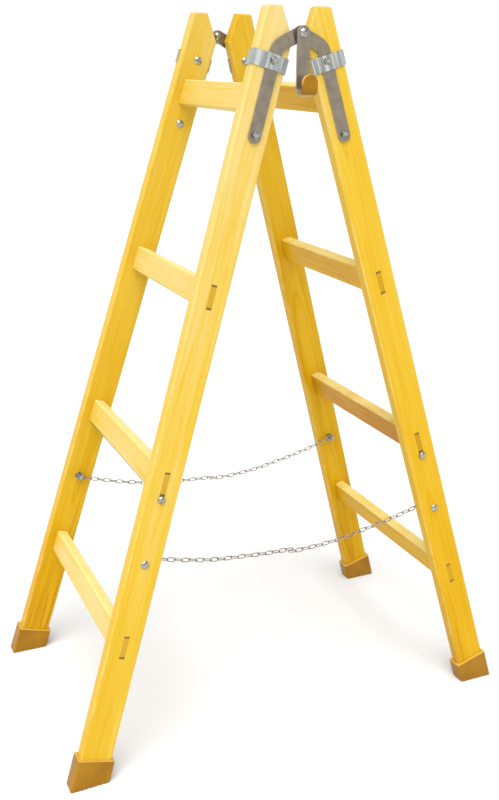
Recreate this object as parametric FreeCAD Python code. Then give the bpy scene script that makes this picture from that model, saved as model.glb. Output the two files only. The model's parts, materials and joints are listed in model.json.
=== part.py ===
"""Double-sided wooden step ladder: two rung frames joined by two strap hinges.

Millimetres, +Z up. The origin is on the floor, midway between the four feet.
X runs across the spread of the ladder, the front frame at -X and the rear
frame at +X. Y runs along the rungs, the near side at -Y and the far side at
+Y. The hinge axis is parallel to Y at X = 0, PIVOT_Z above the floor.

Each frame is drawn upright in frame coordinates, with its origin on the hinge
axis: x is the distance outwards from the hinge axis, y runs along the rungs
and z up the stiles, so a level t below the hinge axis is z = -t. Things that
follow a splayed stile are drawn in board coordinates: x as above, y outwards
from the stile's outer wide face, z up along that face.
"""
import FreeCAD
import Part
import math
import os

# ---------------------------------------------------------------- frame
PIVOT_Z = 1120.5          # height of the hinge axis
LEAN = 16.6               # lean of each frame from the vertical, degrees
HINGE_GAP = 7.5           # hinge axis to the stiles' inner narrow faces
HALF_WIDTH = 148.0        # hinge axis level: centre plane to outer wide faces
SPLAY = 0.061             # growth of that half width per mm down the frame

# ---------------------------------------------------------------- wood
STILE_W = 52.0            # wide faces, across the frame's plane
STILE_T = 20.0
STILE_TOP_Z = 36.5        # tops above the hinge axis
STILE_END_Z = 9.0         # lower ends above the floor, inside the feet
STILE_ROUND = 2.6
ABOVE_TOPS = -100.0       # levels clear of both ends of every stile
BELOW_FEET = 1300.0
CHAMFER_START = 11.5      # inner top corner, below the hinge axis
CHAMFER_DEPTH = 28.5
FIRST_RUNG = 104.0        # first rung's centre below the hinge axis
RUNG_PITCH = 287.5
LAST_RUNG_PITCH = 265.0
RUNG_COUNT = 4
RUNG_H = 41.0
RUNG_D = 19.0
RUNG_ROUND = 3.2
TENON_H = 31.0
TENON_D = 9.0
WEDGE_T = 3.4             # thickness of a wedge at the outer face
WEDGE_TIP = 1.0           # and at its inner end
WEDGE_LENGTH = 17.0

# ---------------------------------------------------------------- feet
FOOT_WALL = 4.6
FOOT_RIM_T = 1134.0       # level of the rims below the hinge axis
FOOT_ROUND = 3.6
FOOT_RIM_ROUND = 1.2
FOOT_FIT = 0.1            # pocket's clearance round the stile
TREAD_PITCH = 7.5
TREAD_GROOVE = 3.0
TREAD_DEPTH = 2.0

# ---------------------------------------------------------------- hinges
STRAP_W = 20.0
STRAP_T = 3.2
STRAP_X = 22.6            # strap's centre from the stile's inner narrow face
STRAP_END_T = 165.5       # rounded lower end
STRAP_BEND_T = 39.5       # where it leaves the splayed face
ARM_ANGLE = 43.6          # arm below the frame's x axis, degrees
ARM_ELBOW_R = 22.0
JOGGLE_NEAR = 14.0        # joggle's two ends, from the hinge axis
JOGGLE_FAR = 20.0
REAR_PLATE_Y = 148.3      # inner face of the rear strap's eye
PLATE_GAP = 0.3
HINGE_BOLT_T = (48.5, 154.0)
CUFF_T = (39.5, 61.5)     # upper and lower edges
CUFF_SHEET = 1.6
CUFF_FIT = 0.05           # clearance round the stile and the strap
CUFF_SLOPE = 2.0          # run of the step up onto the strap
CUFF_ROUND = 1.5
CUFF_LONG = 19.0          # flange lengths down the narrow faces
CUFF_SHORT = 5.5
RIVET_R = 4.0
RIVET_HEAD_R = 6.4
RIVET_HEAD_H = 3.2
RIVET_GAP = 0.2           # head to the plate beside it
RUNNING_FIT = 0.08        # radial, in the parts that turn on a rivet

# ---------------------------------------------------------------- hook
HOOK_W = 20.0
HOOK_T = 3.2
HOOK_SPACER_R = 8.5
HOOK_SPACER_T = 4.2       # holds the hook clear of the hinge nuts
HOOK_BEND_Z = -72.0       # below the hinge axis
HOOK_BEND_R = 11.5        # to the middle of the bar
HOOK_TIP_Z = -58.0
HOOK_TIP_ROUND = 9.8
CAP_WALL = 1.7
CAP_TOP_Z = -55.5
CAP_WRAP = 52.0           # how far the cap follows the bend, degrees
CAP_ROUND = 1.2
CAP_TIP_ROUND = 11.5

# ---------------------------------------------------------------- fasteners
BOLT_R = 3.0
BOLT_HEAD_R = 6.8
BOLT_HEAD_H = 3.4
BOLT_END = 1.6            # thread that stands out of a nut
HINGE_BOLT_END = 0.3
NUT_FLATS = 10.0
NUT_H = 4.0
THIN_NUT_H = 3.0
WASHER_R = 6.6
WASHER_T = 1.2
ROD_R = 3.0
ROD_T = 703.0             # tie rod, just under the third rung
ROD_NUT_R = 6.0
ROD_NUT_COLLAR = 2.5      # straight part of a domed nut
ROD_NUT_DOME = 3.0
TILT_ROOM = 0.45          # a level washer clears the splayed face by this

# ---------------------------------------------------------------- chains
CHAIN_T = 808.0           # chain bolts below the hinge axis
WIRE_R = 0.8
LINK_INNER = 12.7
LINK_WIDTH = 7.8
LINK_PITCH = 12.5
LINKS_PER_HALF = 21
FIRST_LINK = 16.5         # its centre from the bolt's axis
EYE_R = 3.3               # inner radius of the end link
EYE_STRAIGHT = 7.0
EYE_Y = 6.6               # its plane, inwards from the stile's inner face
EYE_ROOM = 0.5            # between its wire and the nut or washer beside it
SAG = {"near": 41.0, "far": 46.0}
PASS_Y = 4.35             # sideways set where the two halves pass each other
PASS_START = 115.0
PASS_END = 190.0

# ---------------------------------------------------------------- worked out
SLANT = math.sqrt(1.0 + SPLAY * SPLAY)
SPLAY_ANGLE = math.degrees(math.atan(SPLAY))
SIN_LEAN = math.sin(math.radians(LEAN))
COS_LEAN = math.cos(math.radians(LEAN))
X_IN = HINGE_GAP
X_OUT = HINGE_GAP + STILE_W
X_MID = HINGE_GAP + STILE_W / 2.0
X_STRAP = HINGE_GAP + STRAP_X
LINK_ARC_R = LINK_WIDTH / 2.0 - WIRE_R
PLATE_BASE_Y = HALF_WIDTH + SPLAY * STRAP_BEND_T
FRONT_PLATE_Y = REAR_PLATE_Y + STRAP_T + PLATE_GAP
SPACER_Y = FRONT_PLATE_Y + STRAP_T
HOOK_Y = SPACER_Y + HOOK_SPACER_T + PLATE_GAP
LARGE = 600.0

FRAMES = ("front", "rear")
SIDES = ("near", "far")

V = FreeCAD.Vector


# ---------------------------------------------------------------- helpers
def prism(points, direction):
    """Closed outline, pushed along a vector."""
    outline = [V(*p) for p in points]
    face = Part.Face(Part.makePolygon(outline + outline[:1]))
    return face.extrude(V(*direction))


def box(low, high):
    """Box between two corners."""
    size = [b - a for a, b in zip(low, high)]
    return Part.makeBox(size[0], size[1], size[2], V(*low))


def rod(radius, start, end):
    """Round bar between two points."""
    a = V(*start)
    along = V(*end) - a
    return Part.makeCylinder(radius, along.Length, a, along)


def dome(radius, height, base, direction):
    """Shallow round head: a slice of a ball on a flat base."""
    ball_r = (radius * radius + height * height) / (2.0 * height)
    base = V(*base)
    axis = V(*direction).normalize()
    ball = Part.makeSphere(ball_r, base - axis * (ball_r - height))
    return ball.common(Part.makeCylinder(ball_r, 2.0 * height, base, axis))


def hex_nut(height, base, direction):
    """Hexagonal nut on a flat base, its outer corners chamfered at 30 degrees."""
    corner = NUT_FLATS / math.sqrt(3.0)
    angles = [math.radians(60.0 * i) for i in range(6)]
    points = [(corner * math.cos(a), corner * math.sin(a), 0.0) for a in angles]
    nut = prism(points, (0.0, 0.0, height))
    top_r = NUT_FLATS / 2.0
    nut = nut.common(Part.makeCone(top_r + height * math.sqrt(3.0), top_r, height))
    nut = nut.cut(Part.makeCylinder(BOLT_R, height))
    turn = FreeCAD.Rotation(V(0, 0, 1), V(*direction))
    nut.Placement = FreeCAD.Placement(V(*base), turn)
    return nut


def washer(base, direction):
    """Flat round washer on a bolt."""
    outside = Part.makeCylinder(WASHER_R, WASHER_T, V(*base), V(*direction))
    return outside.cut(Part.makeCylinder(BOLT_R, WASHER_T, V(*base), V(*direction)))


def long_edges(shape, axis, length):
    """Straight edges that run along an axis for at least a length."""
    found = []
    for edge in shape.Edges:
        ends = [v.Point for v in edge.Vertexes]
        if len(ends) != 2:
            continue
        run = ends[1] - ends[0]
        if run.Length >= length and abs(run.dot(V(*axis))) > 0.995 * run.Length:
            found.append(edge)
    return found


def rung_levels():
    """Centres of the rungs below the hinge axis, from the top down."""
    levels = [FIRST_RUNG + i * RUNG_PITCH for i in range(RUNG_COUNT - 1)]
    levels.append(levels[-1] + LAST_RUNG_PITCH)
    return levels


def outer_y(t):
    """Outer wide face's distance from the centre plane at a level."""
    return HALF_WIDTH + SPLAY * t


def inner_y(t):
    """Inner wide face's distance from the centre plane at a level."""
    return outer_y(t) - STILE_T * SLANT


def between_faces(depth):
    """Space between the two stiles, down to a depth below their outer faces."""
    points = []
    for t, sign in ((ABOVE_TOPS, -1), (BELOW_FEET, -1), (BELOW_FEET, 1), (ABOVE_TOPS, 1)):
        points.append((0, sign * (outer_y(t) - depth * SLANT), -t))
    return prism(points, (X_OUT + X_IN, 0, 0))


# ---------------------------------------------------------------- placing
def from_board(shape):
    """Board coordinates to frame coordinates, on the +y stile."""
    moved = shape.copy()
    moved.rotate(V(0, 0, 0), V(1, 0, 0), SPLAY_ANGLE)
    moved.translate(V(0, HALF_WIDTH, 0))
    return moved


def to_world(shape, frame, side="near"):
    """From the +y stile in frame coordinates to the ladder's own."""
    moved = shape.copy()
    near_y = 1 if frame == "front" else -1
    if (near_y if side == "near" else -near_y) < 0:
        moved = moved.mirror(V(0, 0, 0), V(0, 1, 0))
    moved.rotate(V(0, 0, 0), V(0, 1, 0), -LEAN)
    if frame == "front":
        moved.rotate(V(0, 0, 0), V(0, 0, 1), 180.0)
    moved.translate(V(0, 0, PIVOT_Z))
    return moved


def both_sides(shapes, frame):
    """Pieces of the +y stile, repeated on both sides of a frame."""
    placed = [to_world(s, frame, side) for side in SIDES for s in shapes]
    return Part.makeCompound(placed)


# ---------------------------------------------------------------- wood
def stile_end(x, below):
    """Height in board coordinates of the stile's lower end, or some way below it."""
    return -SLANT * (PIVOT_Z - STILE_END_Z + below) / COS_LEAN - x * SIN_LEAN / COS_LEAN


def stile_board():
    """One stile without its holes, in board coordinates."""
    top_out = (STILE_TOP_Z - X_OUT * SIN_LEAN) / COS_LEAN
    x_chamfer = X_IN + CHAMFER_DEPTH
    top_chamfer = (STILE_TOP_Z - x_chamfer * SIN_LEAN) / COS_LEAN
    outline = [
        (X_OUT, 0, top_out),
        (X_OUT, 0, stile_end(X_OUT, 0)),
        (X_IN, 0, stile_end(X_IN, 0)),
        (X_IN, 0, -CHAMFER_START),
        (x_chamfer, 0, top_chamfer),
    ]
    board = prism(outline, (0, -STILE_T, 0))
    edges = long_edges(board, (0, 0, 1), STILE_W * 4.0)
    for edge in board.Edges:
        if edge.BoundBox.ZMin > -CHAMFER_START - 1.0:
            edges.append(edge)
    return board.makeFillet(STILE_ROUND, edges)


def tenon(t):
    """Long bar of the tenon's section, through both stiles."""
    low = (X_MID - TENON_D / 2.0, -LARGE, -t - TENON_H / 2.0)
    high = (X_MID + TENON_D / 2.0, LARGE, -t + TENON_H / 2.0)
    return box(low, high)


def wedge(t, sign):
    """Wedge above (+1) or below (-1) a tenon, running out past the +y face."""
    z_flat = -t + sign * TENON_H / 2.0
    y_tip = outer_y(t) - WEDGE_LENGTH
    y_end = y_tip + 2.0 * WEDGE_LENGTH
    end_t = WEDGE_T + (WEDGE_T - WEDGE_TIP)
    x = X_MID - TENON_D / 2.0
    points = [
        (x, y_tip, z_flat),
        (x, y_end, z_flat),
        (x, y_end, z_flat + sign * end_t),
        (x, y_tip, z_flat + sign * WEDGE_TIP),
    ]
    return prism(points, (TENON_D, 0, 0))


def stile():
    """One stile with its mortises and bolt holes, at the +y side."""
    board = from_board(stile_board())
    holes = []
    for t in rung_levels():
        holes.append(tenon(t))
        holes.append(wedge(t, 1))
        holes.append(wedge(t, -1))
    for t in (ROD_T, CHAIN_T):
        holes.append(rod(BOLT_R, (X_MID, 0, -t), (X_MID, LARGE, -t)))
    for t in HINGE_BOLT_T:
        holes.append(from_board(board_shank(t, -2.0 * STILE_T, STILE_T)))
    for hole in holes:
        board = board.cut(hole)
    return board


def rung(t):
    """One rung with a tenon at each end."""
    low = (X_MID - RUNG_D / 2.0, -LARGE, -t - RUNG_H / 2.0)
    high = (X_MID + RUNG_D / 2.0, LARGE, -t + RUNG_H / 2.0)
    bar = box(low, high)
    bar = bar.makeFillet(RUNG_ROUND, long_edges(bar, (0, 1, 0), LARGE))
    bar = bar.common(between_faces(STILE_T))
    ends = tenon(t).common(between_faces(0.0))
    return bar.fuse(ends).removeSplitter()


def rung_wedges():
    """The wedges of one stile's tenons."""
    inside = between_faces(0.0)
    return [wedge(t, sign).common(inside) for t in rung_levels() for sign in (1, -1)]


# ---------------------------------------------------------------- feet
def foot(frame, side):
    """Moulded boot on a stile's lower end, with a level ribbed sole."""
    low = (X_IN - FOOT_WALL, -STILE_T - FOOT_WALL, stile_end(X_OUT, STILE_W))
    high = (X_OUT + FOOT_WALL, FOOT_WALL, -FOOT_RIM_T * SLANT)
    boot = box(low, high)
    boot = boot.makeFillet(FOOT_ROUND, long_edges(boot, (0, 0, 1), STILE_W))
    rim = [e for e in boot.Edges if e.BoundBox.ZMin > high[2] - 0.01]
    boot = boot.makeFillet(FOOT_RIM_ROUND, rim)
    x_low = X_IN - FOOT_FIT
    x_high = X_OUT + FOOT_FIT
    pocket = prism([
        (x_low, FOOT_FIT, 0),
        (x_low, FOOT_FIT, stile_end(x_low, FOOT_FIT)),
        (x_high, FOOT_FIT, stile_end(x_high, FOOT_FIT)),
        (x_high, FOOT_FIT, 0),
    ], (0, -STILE_T - 2.0 * FOOT_FIT, 0))
    boot = to_world(from_board(boot.cut(pocket)), frame, side)
    ground = box((-LARGE, -LARGE, -LARGE), (LARGE, LARGE, 0))
    boot = boot.cut(ground)
    sole = boot.BoundBox
    middle = (sole.XMin + sole.XMax) / 2.0
    count = int((sole.XMax - sole.XMin) / TREAD_PITCH)
    for i in range(count):
        x = middle + (i - (count - 1) / 2.0) * TREAD_PITCH - TREAD_GROOVE / 2.0
        boot = boot.cut(box((x, -LARGE, -1.0), (x + TREAD_GROOVE, LARGE, TREAD_DEPTH)))
    return boot


# ---------------------------------------------------------------- hinges
def arm_axes():
    """Unit vectors along a strap's arm, away from the hinge axis, and across it."""
    a = math.radians(ARM_ANGLE)
    return V(math.cos(a), 0, -math.sin(a)), V(math.sin(a), 0, math.cos(a))


def strap_outline():
    """A strap seen along y: leg with a round end, elbow, arm and eye."""
    along, across = arm_axes()
    half = STRAP_W / 2.0
    elbow_x = X_STRAP - ARM_ELBOW_R
    elbow_z = -(ARM_ELBOW_R + elbow_x * across.x) / across.z
    elbow = V(elbow_x, 0, elbow_z)
    middle = math.radians((90.0 - ARM_ANGLE) / 2.0)
    bisector = V(math.cos(middle), 0, math.sin(middle))
    end_z = -STRAP_END_T + half
    outer_r = ARM_ELBOW_R + half
    inner_r = ARM_ELBOW_R - half
    right = V(X_STRAP + half, 0, end_z)
    left = V(X_STRAP - half, 0, end_z)
    edges = [
        Part.Arc(left, V(X_STRAP, 0, -STRAP_END_T), right),
        Part.LineSegment(right, elbow + V(outer_r, 0, 0)),
        Part.Arc(elbow + V(outer_r, 0, 0), elbow + bisector * outer_r, elbow + across * outer_r),
        Part.LineSegment(elbow + across * outer_r, across * half),
        Part.Arc(across * half, along * -half, across * -half),
        Part.LineSegment(across * -half, elbow + across * inner_r),
        Part.Arc(elbow + across * inner_r, elbow + bisector * inner_r, elbow + V(inner_r, 0, 0)),
        Part.LineSegment(elbow + V(inner_r, 0, 0), left),
    ]
    return Part.Face(Part.Wire([e.toShape() for e in edges]))


def strap(plate_y, hole_r):
    """One strap: down the splayed face, then a flat arm that steps to its eye."""
    bend_z = -STRAP_BEND_T
    mitre = STRAP_T * math.tan(math.radians(SPLAY_ANGLE / 2.0))
    low_t = STRAP_END_T + STRAP_W
    leg_y = outer_y(low_t)
    leg_out = STRAP_T / SLANT
    side = prism([
        (0, PLATE_BASE_Y, LARGE),
        (0, PLATE_BASE_Y, bend_z),
        (0, leg_y, -low_t),
        (0, leg_y + leg_out, -low_t + STRAP_T * SPLAY / SLANT),
        (0, PLATE_BASE_Y + STRAP_T, bend_z + mitre),
        (0, PLATE_BASE_Y + STRAP_T, LARGE),
    ], (LARGE, 0, 0))
    along, across = arm_axes()
    corners = []
    for s, y in ((JOGGLE_FAR, -LARGE), (JOGGLE_FAR, LARGE), (LARGE, LARGE), (LARGE, -LARGE)):
        corners.append(along * s - across * LARGE + V(0, y, 0))
    beyond = prism(corners, across * (2.0 * LARGE))
    corners = []
    for s, y in (
        (-STRAP_W, plate_y),
        (JOGGLE_NEAR, plate_y),
        (JOGGLE_FAR, PLATE_BASE_Y),
        (JOGGLE_FAR, PLATE_BASE_Y + STRAP_T),
        (JOGGLE_NEAR, plate_y + STRAP_T),
        (-STRAP_W, plate_y + STRAP_T),
    ):
        corners.append(along * s - across * STRAP_W + V(0, y, 0))
    step = prism(corners, across * (2.0 * STRAP_W))
    outline = strap_outline().extrude(V(0, LARGE, 0))
    shape = side.common(beyond).fuse(step).common(outline).removeSplitter()
    shape = shape.cut(rod(hole_r, (0, 0, 0), (0, LARGE, 0)))
    for t in HINGE_BOLT_T:
        shape = shape.cut(from_board(board_shank(t, -STILE_T, STILE_T)))
    return shape


def cuff(outer_flange, inner_flange):
    """Sheet cuff round a stile, pressed over the strap, in frame coordinates."""
    gap = CUFF_FIT
    x_in = X_IN - gap
    x_out = X_OUT + gap
    strap_in = X_STRAP - STRAP_W / 2.0 - gap
    strap_out = X_STRAP + STRAP_W / 2.0 + gap
    lean = CUFF_SHEET / 2.0
    low = STRAP_T + gap
    points = [
        (x_in, -inner_flange),
        (x_in, gap),
        (strap_in - CUFF_SLOPE, gap),
        (strap_in, low),
        (strap_out, low),
        (strap_out + CUFF_SLOPE, gap),
        (x_out, gap),
        (x_out, -outer_flange),
        (x_out + CUFF_SHEET, -outer_flange),
        (x_out + CUFF_SHEET, gap + CUFF_SHEET),
        (strap_out + CUFF_SLOPE + lean, gap + CUFF_SHEET),
        (strap_out + lean, low + CUFF_SHEET),
        (strap_in - lean, low + CUFF_SHEET),
        (strap_in - CUFF_SLOPE - lean, gap + CUFF_SHEET),
        (x_in - CUFF_SHEET, gap + CUFF_SHEET),
        (x_in - CUFF_SHEET, -inner_flange),
    ]
    top, bottom = [-t * SLANT for t in CUFF_T]
    shape = prism([(x, y, bottom) for x, y in points], (0, 0, top - bottom))
    corners = []
    for edge in long_edges(shape, (0, 0, 1), top - bottom - 1.0):
        point = edge.Vertexes[0].Point
        outside = point.x < x_in - gap or point.x > x_out + gap
        if outside and point.y > 0:
            corners.append(edge)
    shape = shape.makeFillet(CUFF_ROUND, corners)
    shape = shape.cut(board_shank(HINGE_BOLT_T[0], -STILE_T, STILE_T))
    return from_board(shape)


def spacer():
    """Ring between the near front strap and the hook, at the +y side."""
    start, end = (0, SPACER_Y, 0), (0, SPACER_Y + HOOK_SPACER_T, 0)
    return rod(HOOK_SPACER_R, start, end).cut(rod(RIVET_R, start, end))


def rivet(outer_base_y):
    """Hinge pin with two round heads, at the +y side."""
    inner_base_y = REAR_PLATE_Y - RIVET_GAP
    shank = rod(RIVET_R, (0, inner_base_y, 0), (0, outer_base_y, 0))
    inner = dome(RIVET_HEAD_R, RIVET_HEAD_H, (0, inner_base_y, 0), (0, -1, 0))
    outer = dome(RIVET_HEAD_R, RIVET_HEAD_H, (0, outer_base_y, 0), (0, 1, 0))
    return shank.fuse(inner).fuse(outer)


# ---------------------------------------------------------------- hook
def bend_centre():
    """Middle of the hook's bend, at the +y side."""
    return (0, HOOK_Y + HOOK_T / 2.0 + HOOK_BEND_R, HOOK_BEND_Z)


def bend_ring(half_width, inner_r, outer_r):
    """Full ring round the hook's bend."""
    x, y, z = bend_centre()
    ring = rod(outer_r, (-half_width, y, z), (half_width, y, z))
    return ring.cut(rod(inner_r, (-half_width, y, z), (half_width, y, z)))


def hook():
    """Flat bar hanging from the rivet and turned up outwards, at the +y side."""
    half = HOOK_W / 2.0
    _, centre_y, _ = bend_centre()
    eye = rod(half, (0, HOOK_Y, 0), (0, HOOK_Y + HOOK_T, 0))
    bar = box((-half, HOOK_Y, HOOK_BEND_Z), (half, HOOK_Y + HOOK_T, 0))
    ring = bend_ring(half, HOOK_BEND_R - HOOK_T / 2.0, HOOK_BEND_R + HOOK_T / 2.0)
    ring = ring.common(box((-LARGE, 0, -LARGE), (LARGE, LARGE, HOOK_BEND_Z)))
    tip_y = centre_y + HOOK_BEND_R - HOOK_T / 2.0
    tip = box((-half, tip_y, HOOK_BEND_Z), (half, tip_y + HOOK_T, HOOK_TIP_Z))
    corners = [e for e in long_edges(tip, (0, 1, 0), 1.0) if e.BoundBox.ZMin > HOOK_TIP_Z - 0.01]
    tip = tip.makeFillet(HOOK_TIP_ROUND, corners)
    shape = eye.fuse(bar).fuse(ring).fuse(tip).removeSplitter()
    return shape.cut(rod(RIVET_R + RUNNING_FIT, (0, 0, 0), (0, LARGE, 0)))


def hook_cap():
    """Moulded cap over the hook's tip, following the bend part of the way."""
    half = HOOK_W / 2.0 + CAP_WALL
    _, y, z = bend_centre()
    inner_r = HOOK_BEND_R - HOOK_T / 2.0 - CAP_WALL
    outer_r = HOOK_BEND_R + HOOK_T / 2.0 + CAP_WALL
    wrap = math.radians(CAP_WRAP)
    sector = prism([
        (-half, y, z),
        (-half, y + LARGE, z),
        (-half, y + LARGE * math.cos(wrap), z - LARGE * math.sin(wrap)),
    ], (2.0 * half, 0, 0))
    sleeve = box((-half, y + inner_r, z), (half, y + outer_r, CAP_TOP_Z))
    corners = [e for e in long_edges(sleeve, (0, 1, 0), 1.0) if e.BoundBox.ZMin > z + 1.0]
    sleeve = sleeve.makeFillet(CAP_TIP_ROUND, corners)
    cap = sleeve.fuse(bend_ring(half, inner_r, outer_r).common(sector)).removeSplitter()
    sharp = []
    for edge in cap.Edges:
        bounds = edge.BoundBox
        if bounds.ZMax > z + CAP_WALL and bounds.YMax - bounds.YMin < 0.01:
            sharp.append(edge)
    cap = cap.makeFillet(CAP_ROUND, sharp)
    return cap.cut(hook())


# ---------------------------------------------------------------- fasteners
def board_shank(t, start, end):
    """Bolt's shank square to the stile's wide face, in board coordinates."""
    z = -t * SLANT
    return rod(BOLT_R, (X_STRAP, start, z), (X_STRAP, end, z))


def hinge_seats():
    """Level of each hinge bolt and the height of its nut's seat off the stile."""
    over_cuff = STRAP_T + CUFF_FIT + CUFF_SHEET
    return list(zip(HINGE_BOLT_T, (over_cuff, STRAP_T)))


def hinge_bolts():
    """Bolts with their round heads on the stile's inner face."""
    bolts = []
    for t, seat in hinge_seats():
        shank = board_shank(t, -STILE_T, seat + THIN_NUT_H + HINGE_BOLT_END)
        head = dome(BOLT_HEAD_R, BOLT_HEAD_H, (X_STRAP, -STILE_T, -t * SLANT), (0, -1, 0))
        bolts.append(from_board(shank.fuse(head)))
    return bolts


def hinge_nuts():
    """Nuts outside the strap and the cuff."""
    nuts = []
    for t, seat in hinge_seats():
        nuts.append(from_board(hex_nut(THIN_NUT_H, (X_STRAP, seat, -t * SLANT), (0, 1, 0))))
    return nuts


def tie_rod():
    """Steel rod through both stiles."""
    end = outer_y(ROD_T) + TILT_ROOM + ROD_NUT_COLLAR
    return rod(ROD_R, (X_MID, -end, -ROD_T), (X_MID, end, -ROD_T))


def tie_rod_nut():
    """Domed nut on the rod's end, at the +y side."""
    base = outer_y(ROD_T) + TILT_ROOM
    top = base + ROD_NUT_COLLAR
    nut = rod(ROD_NUT_R, (X_MID, base, -ROD_T), (X_MID, top, -ROD_T))
    nut = nut.fuse(dome(ROD_NUT_R, ROD_NUT_DOME, (X_MID, top, -ROD_T), (0, 1, 0)))
    return nut.cut(rod(ROD_R, (X_MID, 0, -ROD_T), (X_MID, top, -ROD_T)))


def chain_stack():
    """Distances inwards from the stile's inner face to each piece on a chain bolt."""
    thin_nut = TILT_ROOM + WASHER_T
    outer_washer = EYE_Y + WIRE_R + EYE_ROOM
    nut = outer_washer + WASHER_T
    return {"inner_washer": TILT_ROOM, "thin_nut": thin_nut, "outer_washer": outer_washer,
            "nut": nut, "end": nut + NUT_H + BOLT_END}


def chain_bolt():
    """Bolt through the stile, its round head outside and its thread inside."""
    head_y = outer_y(CHAIN_T) + TILT_ROOM
    end_y = inner_y(CHAIN_T) - chain_stack()["end"]
    head = dome(BOLT_HEAD_R, BOLT_HEAD_H, (X_MID, head_y, -CHAIN_T), (0, 1, 0))
    return rod(BOLT_R, (X_MID, end_y, -CHAIN_T), (X_MID, head_y, -CHAIN_T)).fuse(head)


def chain_seat(piece):
    """Where a piece on a chain bolt starts, its axis pointing inwards."""
    return (X_MID, inner_y(CHAIN_T) - chain_stack()[piece], -CHAIN_T)


def chain_nuts():
    """The two nuts of one chain bolt."""
    return [
        hex_nut(THIN_NUT_H, chain_seat("thin_nut"), (0, -1, 0)),
        hex_nut(NUT_H, chain_seat("nut"), (0, -1, 0)),
    ]


def chain_washers():
    """The two washers of one chain bolt."""
    return [washer(chain_seat(name), (0, -1, 0)) for name in ("inner_washer", "outer_washer")]


# ---------------------------------------------------------------- chains
def wire_link(straight, arc_r):
    """Oval link of round wire about the origin, long along x, flat in the xy plane."""
    half = straight / 2.0
    section = Part.Face(Part.Wire(Part.makeCircle(WIRE_R, V(half, arc_r, 0), V(1, 0, 0))))
    other = Part.Face(Part.Wire(Part.makeCircle(WIRE_R, V(-half, -arc_r, 0), V(1, 0, 0))))
    parts = [
        section.extrude(V(-straight, 0, 0)),
        other.extrude(V(straight, 0, 0)),
        section.revolve(V(half, 0, 0), V(0, 0, 1), -180.0),
        other.revolve(V(-half, 0, 0), V(0, 0, 1), -180.0),
    ]
    return parts[0].multiFuse(parts[1:]).removeSplitter()


def chain_end():
    """Chain bolt's distance from the centre plane X = 0, and its height."""
    x = X_MID * COS_LEAN + CHAIN_T * SIN_LEAN
    z = PIVOT_Z + X_MID * SIN_LEAN - CHAIN_T * COS_LEAN
    return x, z


def sagging_point(s, sag):
    """Place and slope, s along a chain from its bolt: out, down, slope down."""
    half_span = chain_end()[0]
    bend = sag / (half_span * half_span)

    def from_lowest(u):
        root = math.sqrt(1.0 + 4.0 * bend * bend * u * u)
        return u * root / 2.0 + math.asinh(2.0 * bend * u) / (4.0 * bend)

    u = half_span - s
    for _ in range(8):
        error = from_lowest(half_span) - from_lowest(u) - s
        u += error / math.sqrt(1.0 + 4.0 * bend * bend * u * u)
    return half_span - u, sag - bend * u * u, 2.0 * bend * u


def pass_offset(s):
    """Sideways set of a chain half and its slope, s along it."""
    f = min(max((s - PASS_START) / (PASS_END - PASS_START), 0.0), 1.0)
    slope = PASS_Y * 6.0 * f * (1.0 - f) / (PASS_END - PASS_START)
    return PASS_Y * f * f * (3.0 - 2.0 * f), slope


def placed_link(link, s, sag, upright):
    """A link s along a chain half that starts at the origin and runs to +x."""
    out, down, slope = sagging_point(s, sag)
    side, side_slope = pass_offset(s)
    along = V(1.0, side_slope, -slope).normalize()
    normal = V(slope, 0.0, 1.0)
    across = normal.cross(along).normalize()
    normal = along.cross(across)
    if upright:
        across, normal = normal, across * -1.0
    matrix = FreeCAD.Matrix(
        along.x, across.x, normal.x, out,
        along.y, across.y, normal.y, side,
        along.z, across.z, normal.z, -down,
        0, 0, 0, 1)
    moved = link.copy()
    moved.Placement = FreeCAD.Placement(matrix)
    return moved


def chain_half(frame, side):
    """Half of a safety chain, hanging from its bolt to the middle of the ladder."""
    sag = SAG[side]
    link = wire_link(LINK_INNER - 2.0 * (LINK_ARC_R - WIRE_R), LINK_ARC_R)
    eye = wire_link(EYE_STRAIGHT, EYE_R + WIRE_R)
    eye.translate(V(EYE_STRAIGHT / 2.0, 0, 0))
    _, _, slope = sagging_point(0.0, sag)
    eye.rotate(V(0, 0, 0), V(1, 0, 0), 90.0)
    eye.rotate(V(0, 0, 0), V(0, 1, 0), math.degrees(math.atan(slope)))
    solids = [eye]
    for i in range(LINKS_PER_HALF):
        s = FIRST_LINK + i * LINK_PITCH
        solids.append(placed_link(link, s, sag, i % 2 == 1))
    half = Part.makeCompound(solids)
    x, z = chain_end()
    y = inner_y(CHAIN_T) - EYE_Y
    if frame == "rear":
        half.rotate(V(0, 0, 0), V(0, 0, 1), 180.0)
        x = -x
    half.translate(V(-x, -y if side == "near" else y, z))
    return half


# ---------------------------------------------------------------- the ladder
def wooden_parts():
    """Stiles, rungs, wedges and feet of both frames."""
    nodes = {}
    one_stile = stile()
    wedges = rung_wedges()
    rungs = [rung(t) for t in rung_levels()]
    for frame in FRAMES:
        for i, shape in enumerate(rungs, 1):
            nodes[f"{frame}_rung_{i}"] = to_world(shape, frame)
        nodes[f"{frame}_rung_wedges"] = both_sides(wedges, frame)
        for side in SIDES:
            nodes[f"{frame}_stile_{side}"] = to_world(one_stile, frame, side)
            nodes[f"{frame}_foot_{side}"] = foot(frame, side)
    return nodes


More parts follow.
